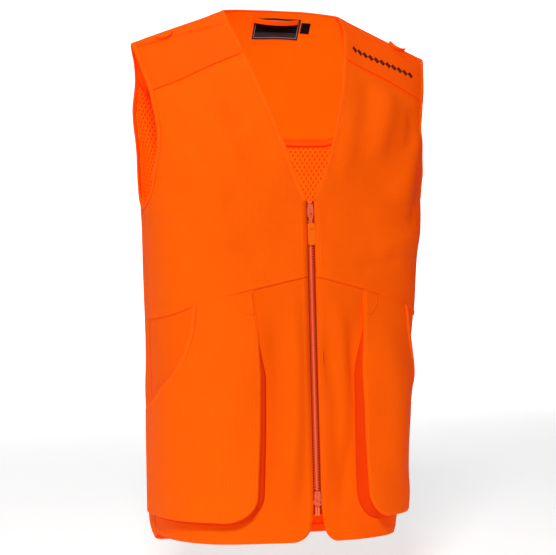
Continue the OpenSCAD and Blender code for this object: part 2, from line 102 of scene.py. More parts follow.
# Soft folds: each is a long low ridge from one point of the cloth to another, (x, z) to (x, z), width, height.
foldLines = {
    "front": [
        (-146, 634, -96, 500, 15, 2.6), (-186, 570, -112, 452, 17, 3.4), (-190, 515, -150, 420, 14, -2.4),
        (-176, 610, -160, 520, 12, -2.2), (-120, 650, -84, 560, 13, -1.8), (-60, 620, -30, 500, 16, 1.5),
        (-182, 470, -95, 400, 16, 2.0), (-150, 420, -60, 392, 14, -1.6),
        (-26, 372, -46, 40, 11, 3.2), (-58, 350, -60, 70, 12, -2.4), (-16, 250, -24, 30, 10, -1.3),
        (-92, 340, -120, 90, 22, 2.6), (-150, 250, -150, 70, 18, -2.0),
        (138, 640, 92, 520, 15, 2.4), (186, 585, 126, 462, 17, 3.4), (190, 520, 152, 430, 13, -2.6),
        (172, 612, 158, 540, 11, -1.8), (104, 650, 80, 560, 13, -1.6), (70, 600, 34, 486, 15, 1.8),
        (186, 450, 90, 396, 17, 2.2), (140, 400, 60, 384, 12, -1.4),
        (26, 366, 52, 110, 13, 2.6), (16, 300, 30, 60, 10, -1.3), (56, 330, 34, 40, 12, -2.8),
        (104, 330, 116, 90, 22, 2.4), (152, 240, 146, 70, 18, -2.0)],
    "back": [
        (-120, 560, -60, 420, 24, 3.0), (110, 570, 66, 400, 24, 3.2), (-20, 480, -34, 220, 26, -2.4),
        (40, 420, 26, 120, 24, 2.4), (-90, 330, -110, 60, 26, 3.0), (120, 340, 130, 50, 26, 3.0),
        (-160, 450, -120, 300, 20, -2.6), (162, 440, 130, 310, 20, -2.6), (0, 260, 10, 20, 30, 2.4),
        (-60, 200, -50, 10, 20, -2.2), (74, 220, 80, 10, 20, -2.4)],
}


# A ridge is height times a bell across its line, faded over the last fifth at both ends.
def ridgeSum(x, z, lines):
    total = np.zeros(np.broadcast(x, z).shape)
    for x0, z0, x1, z1, wide, high in lines:
        longX, longZ = x1 - x0, z1 - z0
        size = math.hypot(longX, longZ)
        along = ((x - x0) * longX + (z - z0) * longZ) / size ** 2
        bow = 0.04 * size * np.sin(np.pi * np.clip(along, 0, 1))
        across = ((x - x0) * longZ - (z - z0) * longX) / size + bow
        ends = np.clip(along / 0.25, 0, 1) * np.clip((1 - along) / 0.25, 0, 1)
        ends = ends * ends * (3 - 2 * ends)
        total = total + high * ends * np.exp(-(across / wide) ** 2)
    return total


def wrinkle(x, z, side):
    ripple = 0.55 * np.sin(x / 23 + z / 61 + 1.3 * np.sin(z / 47)) + 0.45 * np.sin(x / 37 - z / 29 + 0.7)
    ripple = ripple + 0.3 * np.sin(x / 11 + z / 83 + 2 * np.sin(x / 71)) * np.sin(z / 19)
    front = ridgeSum(x, z, foldLines["front"]) + ripple
    back = ridgeSum(x, z, foldLines["back"]) + 1.2 * ripple
    calm = np.clip((np.abs(x) - 6) / 16, 0, 1)  # the zip's own line stays straight
    seamSide = np.clip((halfWidth(z) - np.abs(x)) / 6, 0, 1)
    top = np.clip((crestAt(x) - z) / 60, 0, 1)
    return 1.75 * np.where(side < 0, front * calm, back) * seamSide * top


# The shoulders flare out above the armholes, and the hem's side corners curl in.
def drape(x, z):
    rise = np.clip((z - 535) / 75, 0, 1)
    flare = 7.5 * rise * rise * (3 - 2 * rise) * np.clip((x - 105) / 70, 0, 1)
    curl = 13 * np.clip((46 - z) / 46, 0, 1) ** 2.2 * np.clip((x - 125) / 35, 0, 1)
    return flare - curl


# A point of the body: a rounded box section whose depth grows down from the shoulder line, moved out by "out".
def bodyPoint(turn, z, side, out):
    turn, z, side, out = np.broadcast_arrays(*(np.asarray(q, float) for q in (turn, z, side, out)))
    c = np.abs(np.sin(np.radians(turn))) ** power
    s = np.maximum(0, np.cos(np.radians(turn))) ** power
    a = halfWidth(z)
    x = a * c
    drop = np.maximum(0, crestAt(x) - z)
    reach = np.where(side < 0, 285, 285 - 125 * np.minimum(1, (x / 190) ** 2))
    g = np.sin(np.radians(90 * np.minimum(1, drop / reach))) ** 0.714
    b = np.where(side < 0, bodyCut["chestDepth"] + bodyCut["frontLean"] * np.maximum(0, 465 - z), backDepth(z))
    sign = np.where(turn < 0, -1.0, 1.0)
    far = out + wrinkle(sign * x, z, side)
    wide = sign * c * (a + far + drape(x, z))
    lean = np.clip((np.abs(wide) - 8) / 112, 0, 1) * bodyCut["lean"] * np.maximum(0, 440 - z)
    droop = 4.0 * np.clip((wide - 70) / 110, 0, 1) * np.clip((z - 560) / 120, 0, 1)
    deep = 8 + side * s * g * (b + far + drape(x, z))
    high = z - droop + far * np.sqrt(np.maximum(0, 1 - g * g))
    return np.stack([wide - lean, deep, high], -1) - hookPoint


# The way out of the cloth at a point, from two points a millimetre apart.
def outward(turn, z, side, out=0.0):
    way = bodyPoint(turn, z, side, np.asarray(out) + 1.0) - bodyPoint(turn, z, side, out)
    return way / np.linalg.norm(way, axis=-1, keepdims=True)


arcTurns = np.linspace(0, 90, 361)
arcPoints = bodyPoint(arcTurns, 400.0, -1, 0.0)
arcLengths = np.concatenate([[0], np.cumsum(np.linalg.norm(np.diff(arcPoints, axis=0), axis=1))])


# The cloth's own flat coordinates in millimetres: the way round from the middle, and the height.
def clothCoords(turn, z):
    way = np.interp(np.abs(turn), arcTurns, arcLengths) * halfWidth(z) / halfWidth(400.0)
    return np.stack(np.broadcast_arrays(way * np.sign(turn), z), -1)


def neckX(z):
    return bodyCut["neckHalf"] * np.clip((z - bodyCut["veeHeight"]) / 248, 0, 1) ** 0.8


def mix(a, b, t):
    return a + (b - a) * t


def finish(item, material, smooth=True):
    item.data.materials.append(material)
    if smooth:
        item.data.shade_smooth()
    return item


def newMesh(name, points, faces, flat=None):
    mesh = bpy.data.meshes.new(name)
    mesh.from_pydata(points.reshape(-1, 3) * 0.001, [], faces.tolist() if hasattr(faces, "tolist") else faces)
    if flat is not None:
        corners = np.zeros(len(mesh.loops), np.int32)
        mesh.loops.foreach_get("vertex_index", corners)
        layer = mesh.uv_layers.new(name="clothFlat")
        layer.data.foreach_set("uv", (flat.reshape(-1, 2)[corners] * 0.001).astype(np.float32).ravel())
    mesh.update()
    item = bpy.data.objects.new(name, mesh)
    bpy.context.scene.collection.objects.link(item)
    return item


# Quads of a grid of m rows by n columns, turned so that they face away from the body's axis.
def gridFaces(points):
    m, n = points.shape[:2]
    k = (np.arange(m - 1)[:, None] * n + np.arange(n - 1)).ravel()
    faces = np.stack([k, k + 1, k + n + 1, k + n], 1)
    p = points.reshape(-1, 3)
    way = np.cross(p[faces[:, 2]] - p[faces[:, 0]], p[faces[:, 3]] - p[faces[:, 1]])
    centre = p[faces].mean(1) - np.array([0, 8 - hookPoint[1], 0])
    centre[:, 2] = np.maximum(0, centre[:, 2] + 60)
    return faces if (way * centre).sum() > 0 else faces[:, ::-1]


def makeSheet(name, points, flat, material, thick=bodyCut["clothThick"]):
    item = newMesh(name, points, gridFaces(points), flat)
    finish(item, material)
    wall = item.modifiers.new("clothThickness", "SOLIDIFY")
    wall.thickness = thick * 0.001
    wall.offset = 0
    wall.use_even_offset = False
    return item


# The cloth's size, measured along its finished shape: its longest row by its longest column, and its quads' area.
def declareSheet(points):
    quad = np.cross(points[1:, 1:] - points[:-1, :-1], points[1:, :-1] - points[:-1, 1:])
    area = np.linalg.norm(quad, axis=-1).sum() / 2 * 1e-6
    size = np.array([np.linalg.norm(np.diff(points, axis=a), axis=-1).sum(a).max() for a in (1, 0)]) * 0.001
    size = size * max(1.0, math.sqrt(area / (size[0] * size[1])))


# A closed tube through rings of points, each ring k points round, capped at both ends.
def makeTube(name, rings, material, flat=None, smooth=True):
    m, k = rings.shape[:2]
    a = (np.arange(m - 1)[:, None] * k + np.arange(k)).ravel()
    b = (np.arange(m - 1)[:, None] * k + (np.arange(k) + 1) % k).ravel()
    faces = np.stack([a, b, b + k, a + k], 1)
    p = rings.reshape(-1, 3) - rings.reshape(-1, 3).mean(0)
    volume = np.einsum("ij,ij->i", p[faces[:, 0]], np.cross(p[faces[:, 1]], p[faces[:, 2]])).sum()
    volume += np.einsum("ij,ij->i", p[faces[:, 0]], np.cross(p[faces[:, 2]], p[faces[:, 3]])).sum()
    ends = [list(range(k))[::-1], list(range((m - 1) * k, m * k))]
    allFaces = faces.tolist() + ends
    if volume < 0:
        allFaces = [f[::-1] for f in allFaces]
    return finish(newMesh(name, rings, allFaces, flat), material, smooth)


# A folded binding round an edge: a flat oval carried along it, pinched along the stitch line.
def bindingRings(edge, inner, normal, halfThick=1.35, count=18):
    across = inner - edge
    wide = np.linalg.norm(across, axis=-1, keepdims=True)
    across = across / wide
    along = np.gradient(edge, axis=0)
    along /= np.linalg.norm(along, axis=-1, keepdims=True)
    normal = normal - (normal * across).sum(-1, keepdims=True) * across
    normal /= np.linalg.norm(normal, axis=-1, keepdims=True)
    angle = np.linspace(0, 2 * np.pi, count, endpoint=False)
    cx = np.sign(np.cos(angle)) * np.abs(np.cos(angle)) ** 0.6
    cy = np.sign(np.sin(angle)) * np.abs(np.sin(angle)) ** 0.7
    cy = cy * (1 - 0.3 * np.exp(-((cx - 0.62) / 0.16) ** 2)) * (1 + 0.12 * np.exp(-((cx + 0.5) / 0.5) ** 2))
    centre = (edge + inner) / 2
    half = wide / 2 + 0.35
    return (centre[:, None] + across[:, None] * (half[:, None] * cx[None, :, None])
        + normal[:, None] * (halfThick * cy)[None, :, None])


def ringFlat(rings):
    middle = rings.mean(1)
    s = np.concatenate([[0], np.cumsum(np.linalg.norm(np.diff(middle, axis=0), axis=1))])
    k = rings.shape[1]
    girth = np.abs(np.linspace(-1, 1, k, endpoint=False)) * 9
    return np.stack(np.broadcast_arrays(s[:, None], girth[None, :]), -1)


def softPath(points, spread=3.0):
    reach = np.arange(-12, 13)
    bell = np.exp(-0.5 * (reach / spread) ** 2)
    bell /= bell.sum()
    padded = np.concatenate([2 * points[:1] - points[12:0:-1], points, 2 * points[-1:] - points[-2:-14:-1]])
    return np.stack([np.convolve(padded[:, i], bell, mode="valid") for i in range(points.shape[1])], -1)


# The same path with its points an even step apart.
def evenPath(points, step, *others):
    s = np.concatenate([[0], np.cumsum(np.linalg.norm(np.diff(points, axis=0), axis=1))])
    count = max(2, int(round(s[-1] / step)) + 1)
    places = np.linspace(0, s[-1], count)
    result = [np.stack([np.interp(places, s, q[:, i]) for i in range(q.shape[1])], -1) for q in (points,) + others]
    return result if others else result[0]


# Thread: a lockstitch row is short plump beads of thread lying along the cloth, one to each stitch.
stitchLook = {"pitch": 3.0, "long": 2.3, "radius": 0.34}
threadRows = {}


def stitchRow(group, path, normal, lift=0.0, pitch=None):
    pitch = pitch or stitchLook["pitch"]
    fine, way = evenPath(path, pitch, normal)
    if len(fine) < 3:
        return
    along = np.gradient(fine, axis=0)
    along /= np.linalg.norm(along, axis=-1, keepdims=True)
    way = way / np.linalg.norm(way, axis=-1, keepdims=True)
    cross = np.cross(along, way)
    ring = np.array([-1, -0.7, 0, 0.7, 1.0]) * stitchLook["long"] / 2
    plump = np.array([0.25, 0.8, 1.0, 0.8, 0.25]) * stitchLook["radius"]
    angle = np.linspace(0, 2 * np.pi, 6, endpoint=False)
    shape = (along[:, None, None] * ring[None, :, None, None]
        + way[:, None, None] * (plump[:, None] * np.cos(angle) + lift)[None, :, :, None]
        + cross[:, None, None] * (plump[:, None] * np.sin(angle) * 1.25)[None, :, :, None])
    threadRows.setdefault(group, []).append((fine[:, None, None] + shape).reshape(-1, 30, 3))


def makeThreads(group, name, material):
    beads = np.concatenate(threadRows[group])
    count = len(beads)
    j, i = np.meshgrid(np.arange(4), np.arange(6), indexing="ij")
    a = (j * 6 + i).ravel()
    b = (j * 6 + (i + 1) % 6).ravel()
    quads = np.stack([a, b, b + 6, a + 6], 1)
    caps = np.array([[3, 2, 1, 0], [5, 4, 3, 0], [24, 25, 26, 27], [24, 27, 28, 29]])
    one = np.concatenate([quads[:, ::-1], caps[:, ::-1]])
    faces = (one[None] + (np.arange(count) * 30)[:, None, None]).reshape(-1, 4)
    return finish(newMesh(name, beads.reshape(-1, 3), faces), material)


# Goes from the hex of a colour on a screen to the straight light values that shaders take.
def lightOf(hexText):
    values = [int(hexText[i:i + 2], 16) / 255 for i in (0, 2, 4)]
    return tuple(v / 12.92 if v < 0.04045 else ((v + 0.055) / 1.055) ** 2.4 for v in values) + (1.0,)


def addNode(tree, kind, inputs=(), **settings):
    node = tree.nodes.new(kind)
    for key, value in settings.items():
        setattr(node, key, value)
    for key, value in dict(inputs).items():
        if isinstance(value, bpy.types.NodeSocket):
            tree.links.new(value, node.inputs[key])
        else:
            node.inputs[key].default_value = value
    return node


# Painted light: a constant red emission stands in for the dye's fluorescence and for light through the cloth, so the
# shades are painted red instead of dark.
def newMaterial(name, colour, rough=0.8, glow=0.0, glowColour="ff1400", **sockets):
    material = bpy.data.materials.new(name)
    material.use_nodes = True
    shader = material.node_tree.nodes["Principled BSDF"]
    shader.inputs["Base Color"].default_value = lightOf(colour)
    shader.inputs["Roughness"].default_value = rough
    shader.inputs["Specular IOR Level"].default_value = 0.06
    shader.inputs["Emission Color"].default_value = lightOf(glowColour)
    shader.inputs["Emission Strength"].default_value = glow
    for key, value in sockets.items():
        shader.inputs[key.replace("_", " ")].default_value = value
    return material


def linesOf(tree, place, pitch, wide):
    far = addNode(tree, "ShaderNodeMath", {0: place, 1: pitch / 2}, operation="PINGPONG").outputs[0]
    return addNode(tree, "ShaderNodeMapRange", {0: far, 1: wide * 0.2, 2: wide * 0.7, 3: 1.0, 4: 0.0},
        interpolation_type="SMOOTHSTEP").outputs[0]


# Woven cloth: over-and-under threads as the product of two waves, slow mottling, and for ripstop a raised
# square of doubled threads. Threads are drawn coarser than life (0.3 mm) so that they show at all.
def weave(material, thread=0.0009, square=0.0, second="e67404", mottle="d25400", high=0.00012):
    tree = material.node_tree
    shader = tree.nodes["Principled BSDF"]
    flat = addNode(tree, "ShaderNodeUVMap", uv_map="clothFlat").outputs[0]
    parts = addNode(tree, "ShaderNodeSeparateXYZ", {0: flat})
    waves = []
    for axis in (0, 1):
        turn = addNode(tree, "ShaderNodeMath", {0: parts.outputs[axis], 1: 2 * math.pi / thread}, operation="MULTIPLY")
        waves.append(addNode(tree, "ShaderNodeMath", {0: turn.outputs[0]}, operation="SINE").outputs[0])
    height = addNode(tree, "ShaderNodeMath", {0: waves[0], 1: waves[1]}, operation="MULTIPLY").outputs[0]
    cloud = addNode(tree, "ShaderNodeTexNoise", {"Vector": flat, "Scale": 28.0, "Detail": 4.0}).outputs[0]
    share = addNode(tree, "ShaderNodeMapRange", {0: cloud, 1: 0.35, 2: 0.75, 3: 0.0, 4: 0.16}).outputs[0]
    base = tuple(shader.inputs["Base Color"].default_value)
    colour = addNode(tree, "ShaderNodeMix", {0: share, 6: base, 7: lightOf(mottle)}, data_type="RGBA").outputs[2]
    if square:
        lines = addNode(tree, "ShaderNodeMath", {0: linesOf(tree, parts.outputs[0], square, 0.0011),
            1: linesOf(tree, parts.outputs[1], square, 0.0011)}, operation="MAXIMUM").outputs[0]
        faint = addNode(tree, "ShaderNodeMath", {0: lines, 1: 0.25}, operation="MULTIPLY").outputs[0]
        colour = addNode(tree, "ShaderNodeMix", {0: faint, 6: colour, 7: lightOf(second)}, data_type="RGBA").outputs[2]
        raised = addNode(tree, "ShaderNodeMath", {0: lines, 1: 2.0}, operation="MULTIPLY").outputs[0]
        height = addNode(tree, "ShaderNodeMath", {0: height, 1: raised}, operation="ADD").outputs[0]
    bump = addNode(tree, "ShaderNodeBump", {"Height": height, "Strength": 0.6, "Distance": high})
    tree.links.new(bump.outputs[0], shader.inputs["Normal"])
    tree.links.new(colour, shader.inputs["Base Color"])
    return material


# Polyester dyed blaze orange: plain-woven shell, redder on the yokes; ripstop; knitted mesh; woven tape. Their red glow
# is painted light that keeps their shades red.
shellCloth = weave(newMaterial("plainWovenPolyester", "d86000", 0.85, 0.34))
# The gusset is the same cloth darkened and reddened: painted shade for its recess under the pocket's edge.
gussetShadeCloth = weave(newMaterial("plainWovenPolyesterGussetShade", "c43c00", 0.85, 0.3), mottle="b83400")
yokeCloth = weave(newMaterial("plainWovenPolyesterYoke", "da5c00", 0.8, 0.36))
ripstopCloth = weave(newMaterial("ripstopPolyester", "da6000", 0.8, 0.34), square=0.0038)
# The knitted mesh's stronger, yellower glow is painted light from the lit inside of the vest.
meshKnitLitThrough = weave(newMaterial("warpKnittedMeshLitThrough", "e07408", 0.9, 0.4, "ff4400"), thread=0.0014)
# The yoke's inner face: daylight comes through the thin cloth, so it glows more yellow than the outer face.
yokeInside = weave(newMaterial("plainWovenPolyesterLitThrough", "e06a00", 0.9, 0.46, "ff4600"))
wovenTape = weave(newMaterial("wovenBindingTape", "e26604", 0.8, 0.34), thread=0.0012, high=0.0002)
# The zip tape and its cord are painted shade: a deeper red with almost no glow, for the shadowed gap between the front
# edges.
zipTapeShadeWeave = weave(newMaterial("zipTapeShadeWeave", "a82806", 0.8, 0.05), thread=0.0012, mottle="9c2406", high=0.0002)
# The thread glows as the cloth does: painted light.
polyThread = newMaterial("spunPolyesterThread", "e87010", 0.7, 0.34)
# Satin-woven label and tag, black polyester; the border is grey weft.
wovenLabel = newMaterial("satinWovenLabel", "101114", 0.6)
# Transfer print: matt brown ink on the yoke, with a faint glow of painted light.
transferInk = newMaterial("transferInk", "5a2410", 0.7, 0.03)
# Injection-moulded acetal teeth and stops; painted zinc sliders; soft rubber pull. Their slight red glow is painted
# light.
mouldedAcetal = newMaterial("mouldedAcetal", "f07850", 0.4, 0.12, "ff2a10")
paintedZinc = newMaterial("paintedZinc", "e86a44", 0.3, 0.06, "ff2a10")
softRubber = newMaterial("softRubberPull", "e06c08", 0.45, 0.25, "ff3a10")


def labelWeave(material, wide, tall, strip):
    tree = material.node_tree
    flat = addNode(tree, "ShaderNodeUVMap", uv_map="clothFlat").outputs[0]
    parts = addNode(tree, "ShaderNodeSeparateXYZ", {0: flat})
    far = []
    for axis, size in ((0, wide), (1, tall)):
        off = addNode(tree, "ShaderNodeMath", {0: parts.outputs[axis], 1: size / 2}, operation="SUBTRACT").outputs[0]
        off = addNode(tree, "ShaderNodeMath", {0: off}, operation="ABSOLUTE").outputs[0]
        far.append(addNode(tree, "ShaderNodeMath", {0: off, 1: size / 2 - 0.0022}, operation="SUBTRACT").outputs[0])
    edge = addNode(tree, "ShaderNodeMath", {0: far[0], 1: far[1]}, operation="MAXIMUM").outputs[0]
    line = addNode(tree, "ShaderNodeMath", {0: edge, 1: 0.0, 2: 0.0004}, operation="COMPARE").outputs[0]
    low = addNode(tree, "ShaderNodeMath", {0: parts.outputs[1], 1: strip}, operation="LESS_THAN").outputs[0]
    colour = addNode(tree, "ShaderNodeMix", {0: low, 6: lightOf("101114"), 7: lightOf("34363a")}, data_type="RGBA")
    colour = addNode(tree, "ShaderNodeMix", {0: line, 6: colour.outputs[2], 7: lightOf("8c9094")}, data_type="RGBA")
    tree.links.new(colour.outputs[2], tree.nodes["Principled BSDF"].inputs["Base Color"])
    return material


labelWeave(wovenLabel, 0.068, 0.027, 0.009)
print("materials made")

sideOf = {1: "left", -1: "right"}
declared = []


# How far the back neck lies under the shoulder line: its own line is nearly level.
def backNeckDrop(x):
    return np.maximum(0.6, crestAt(x) - 743 + 6 * (x / 84) ** 2)


# Points beside each side seam, in metres, for a bend that is not made here; only the table's keys are read.
sideBends = {
    "left_side": ((0.169, 0.0, -0.548), (0.145, 0.0, -0.5454)),
    "right_side": ((-0.1877, 0.0, -0.548), (-0.1637, 0.0, -0.5471)),
}


# Puts a finished piece on its body: chest and side pieces keep their baked place, the others are parented to their
# body's empty. The CAD nodes they stand for are hidden.
def place(item, body, slotName, *nodes):
    if body in ("left_chest", "right_chest"):
        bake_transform(item)
    elif body in sideBends:
        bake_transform(item)
    else:
        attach(item, body)
    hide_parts(*nodes)
    return item


def spread(n, m):
    return np.meshgrid(np.linspace(0, 1, n), np.linspace(0, 1, m))


def clothPiece(name, turn, z, side, out, material, thick, body, slotName, nodes, held="hung", restsOn=()):
    points = bodyPoint(turn, z, side, out)
    flat = clothCoords(turn, z)
    item = makeSheet(name, points, flat, material, thick)
    place(item, body, slotName, *nodes)
    declared.append((item, points, held, restsOn))
    return points


# A binding along an edge, six millimetres in from it, its inner side the one away from "centre".
def bindEdge(name, turn, z, side, centre, wide, material, body, slotName, nodes, out=0.5, thick=1.35):
    edge = bodyPoint(turn, z, side, out)
    normal = outward(turn, z, side, out)
    edge, normal = evenPath(edge, 2.5, normal)
    edge, normal = softPath(edge, 1.4), softPath(normal, 3.0)
    along = np.gradient(edge, axis=0)
    across = np.cross(along, normal)
    across /= np.linalg.norm(across, axis=-1, keepdims=True)
    across *= np.sign(((edge - np.array(centre)) * across).sum(-1).mean())
    inner = edge + across * wide
    rings = bindingRings(edge, inner, normal, thick)
    item = makeTube(name, rings, material, ringFlat(rings))
    place(item, body, slotName, *nodes)
    normal = normal / np.linalg.norm(normal, axis=-1, keepdims=True)
    stitchRow(body, edge + across * (wide * 0.84) + normal * (thick * 0.8), normal)
    return item


def flatRow(group, turn, z, side, out, pitch=None):
    stitchRow(group, bodyPoint(turn, z, side, out), outward(turn, z, side, out), 0.0, pitch)


frontLook = {"chestOut": 0.5, "lowerOut": -0.3, "edge": 5.5, "bulge": 1.3, "stitchX": 13.0}


def frontBulge(x, z):
    return frontLook["bulge"] * np.exp(-((np.abs(x) - 9.0) / 3.6) ** 2) * np.clip((476 - z) / 20, 0, 1)


def makeChest(sign):
    u, v = spread(100, 150)
    x0 = xAt(mix(0.5, 90.0, u), 340.0)
    x1 = xAt(mix(turnAt(81.0, 673.0), 59.7, u), 640.0)
    low, high = chestSeam(x0), yokeSeam(x1)
    z = mix(low - 1.5, high + 3.0, v)
    inner, outer = z[:, :1], z[:, -1:]
    t0 = turnAt(np.where(inner < 468, frontLook["edge"], np.maximum(frontLook["edge"], neckX(inner) + 0.8)), inner)
    t1 = np.where(outer < 469, 90.0, armFront(outer))
    turn = mix(t0, t1, u)
    x = xAt(turn, z)
    out = frontLook["chestOut"] + 0.7 * np.exp(-((z - low) / 4) ** 2) - 1.1 * np.exp(-((high - z) / 5) ** 2)
    side = sideOf[sign]
    clothPiece(side + "ChestPanel", sign * turn, z, -1, out + frontBulge(x, z), ripstopCloth, 1.0, side + "_chest",
        "ripstop", [side + "_chest_panel"])
    group = side + "_chest"
    q = np.linspace(0.02, 0.985, 90)
    line = xAt(mix(2.0, 90.0, q), 340.0)
    flatRow(group, sign * turnAt(line, 340.0), chestSeam(line) + 1.6, -1, 1.75)
    zz = np.linspace(378, 462, 40)
    flatRow(group, sign * turnAt(np.full(40, frontLook["stitchX"]), zz), zz, -1, 1.5)


def hemEdge(z):
    k = z - 24
    r = np.clip(18 - k, 0, 18)
    return frontLook["edge"] + 8 * (np.maximum(0, 74 - z) / 50) ** 1.4 + 18 - np.sqrt(18 ** 2 - r ** 2)


def makeLower(sign):
    k = np.concatenate([18 * (1 - np.cos(np.linspace(0, np.pi / 2, 16))), np.linspace(18, 354, 140)[1:]])
    u, v = np.meshgrid(np.linspace(0, 1, 110), k / 351)
    t0 = turnAt(hemEdge(24 + k), 24 + k)[:, None]
    turn = mix(t0, 90.0, u)
    z = 24 + v * (chestSeam(xAt(turn, 340.0)) - 24)
    x = xAt(turn, z)
    fold = 0.35 * np.clip((33 - z) / 1.5, 0, 1)
    side = sideOf[sign]
    out = frontLook["lowerOut"] + frontBulge(x, z) + fold
    clothPiece(side + "LowerFront", sign * turn, z, -1, out, shellCloth, 1.0, side + "_side", "shell",
        [side + "_lower_front"])
    group = side + "_side"
    zz = np.linspace(44, 372, 120)
    flatRow(group, sign * turnAt(frontLook["stitchX"] + 8 * (np.maximum(0, 74 - zz) / 50) ** 1.4, zz), zz, -1, 0.8)
    tt = np.linspace(turnAt(32.0, 32.0), 89.5, 70)
    flatRow(group, sign * tt, np.full(70, 32.4), -1, 0.45)


pocketLook = {"low": 54.0, "round": 35.0, "deep": 17.0, "side": 9.0, "puff": 3.0}


def pocketX(z):
    low, corner = pocketLook["low"], pocketLook["round"]
    r = np.clip(low + corner - z, 0, corner)
    curve = np.interp(z, [89, 170, 243, 289, 320, 356], [71, 69, 69, 72, 76, 80])
    return curve + corner - np.sqrt(corner ** 2 - r ** 2)


def pocketLift(turn, z):
    k = np.clip((340 - z) / 286, 0, 1)
    x = xAt(turn, z)
    rise = 1.4 + k ** 0.7 * mix(pocketLook["deep"], pocketLook["side"], np.clip((turn - 18) / 72, 0, 1))
    puff = pocketLook["puff"] * np.exp(-((x - 128) / 40) ** 2 - ((z - 190) / 80) ** 2)
    roll = np.exp(-((x - pocketX(z)) / 1.6) ** 2) + np.exp(-((z - pocketLook["low"]) / 1.6) ** 2)
    return rise + puff - 0.9 * roll - 1.2 * np.exp(-((chestSeam(x) - z) / 8) ** 2) + 0.6


def pocketGrid(u, z):
    t0 = turnAt(pocketX(z), z)
    t1 = np.minimum(89.97, mouthTurn(z))
    turn = mix(t0, t1, u)
    up = np.clip((z - 242) / 93, 0, 1) * (chestSeam(xAt(turn, 340.0)) + 1.0 - 335)
    return turn, z + up


def makePocket(sign):
    rows = np.concatenate([54 + 35 * (1 - np.cos(np.linspace(0, np.pi / 2, 18))), np.linspace(89, 335, 120)[1:]])
    u, z = np.meshgrid(np.linspace(0, 1, 90), rows)
    turn, z = pocketGrid(u, z)
    side = sideOf[sign]
    body = side + "_side"
    clothPiece(side + "PocketPanel", sign * turn, z, -1, pocketLift(turn, z), ripstopCloth, 1.5, body, "ripstop",
        [side + "_pocket_panel"])
    zz = np.linspace(199, 334, 90)
    turn, z = pocketGrid(np.ones(90), zz)
    bindEdge(side + "PocketMouthBinding", sign * turn, z, -1, (sign * 260, -40, -380), 6.5, wovenTape, body,
        "ripstop", [side + "_pocket_mouth_binding"], out=pocketLift(turn, z) + 0.4, thick=1.6)
    q = np.linspace(0, np.pi / 2, 20)
    edgeX = np.concatenate([pocketX(np.linspace(330, 90, 90)) + 2.6, 106 - 32.4 * np.cos(q), np.linspace(107, 163, 30)])
    edgeZ = np.concatenate([np.linspace(330, 90, 90), 89 - 32.4 * np.sin(q), np.full(30, 56.6)])
    turn = turnAt(edgeX, edgeZ)
    flatRow(body, sign * turn, edgeZ, -1, pocketLift(turn, edgeZ) + 0.8)
    makeGusset(sign)
    i, q = spread(16, 24)
    z0 = 322 + 29 * q
    x = mix(pocketX(z0) + 0.6, pocketX(z0) + 3 + 18 * np.sqrt(1 - (1 - q) ** 2), i)
    z = z0 - 0.12 * (x - 78)
    turn = turnAt(x, z)
    clothPiece(side + "PocketCornerPatch", sign * turn, z, -1, pocketLift(turn, z) + 1.2, ripstopCloth, 0.8, body,
        "ripstop", [side + "_pocket_corner_patch"])
    q = np.linspace(0.06, 0.9, 30)
    z0 = 323 + 27 * q
    x = pocketX(z0) + 1.4 + 18 * np.sqrt(1 - (1 - q) ** 2)
    z = z0 - 0.12 * (x - 78)
    turn = turnAt(x, z)
    flatRow(body, sign * turn, z, -1, pocketLift(turn, z) + 1.7, 2.2)


# The gusset wall: from the lower front out to the pocket's edge, set back and folded inward along its middle.
def makeGusset(sign):
    q = np.linspace(0, np.pi / 2, 18)
    straight = np.linspace(324, 89, 90)
    x = np.concatenate([pocketX(straight) + 5, 106 - 30 * np.cos(q)[1:], np.linspace(106, 158, 26)[1:]])
    z = np.concatenate([straight, 89 - 30 * np.sin(q)[1:], np.full(25, 59.0)])
    wayX = np.concatenate([np.ones(90), np.cos(q)[1:], np.zeros(25)])
    wayZ = np.concatenate([np.zeros(90), np.sin(q)[1:], np.ones(25)])
    turn = turnAt(x, z)
    turnEnd = np.linspace(turn[-1], 87.4, 14)[1:]
    z2 = np.linspace(62, 190, 40)
    x = np.concatenate([x, xAt(turnEnd, 59.0), xAt(np.full(40, 87.4), z2)])
    z = np.concatenate([z, np.full(13, 59.0), z2])
    wayX = np.concatenate([wayX, np.zeros(13), np.full(40, -0.4)])
    wayZ = np.concatenate([wayZ, np.ones(13), np.zeros(40)])
    w = np.linspace(0, 1, 9)[None]
    low = np.clip((330 - z) / 90, 0, 1)[:, None]
    fold = 3.2 * np.sin(np.pi * w) - 10.5 * low * (1 - w) ** 1.3
    top = pocketLift(turnAt(x, z), z)[:, None] - 0.6
    px, pz = x[:, None] + wayX[:, None] * fold, z[:, None] + wayZ[:, None] * fold
    turn = turnAt(px, pz)
    out = mix(0.1, top, w)
    points = bodyPoint(sign * turn, pz, -1, out)
    s = np.concatenate([[0], np.cumsum(np.hypot(np.diff(x), np.diff(z)))])
    flat = np.stack(np.broadcast_arrays(s[:, None], out), -1)
    side = sideOf[sign]
    # The gusset cloth's darker red is painted shade.
    item = makeSheet(side + "PocketGusset", points, flat, gussetShadeCloth, 0.9)
    place(item, side + "_side", "shell", side + "_pocket_gusset")
    declared.append((item, points, "folded", ()))


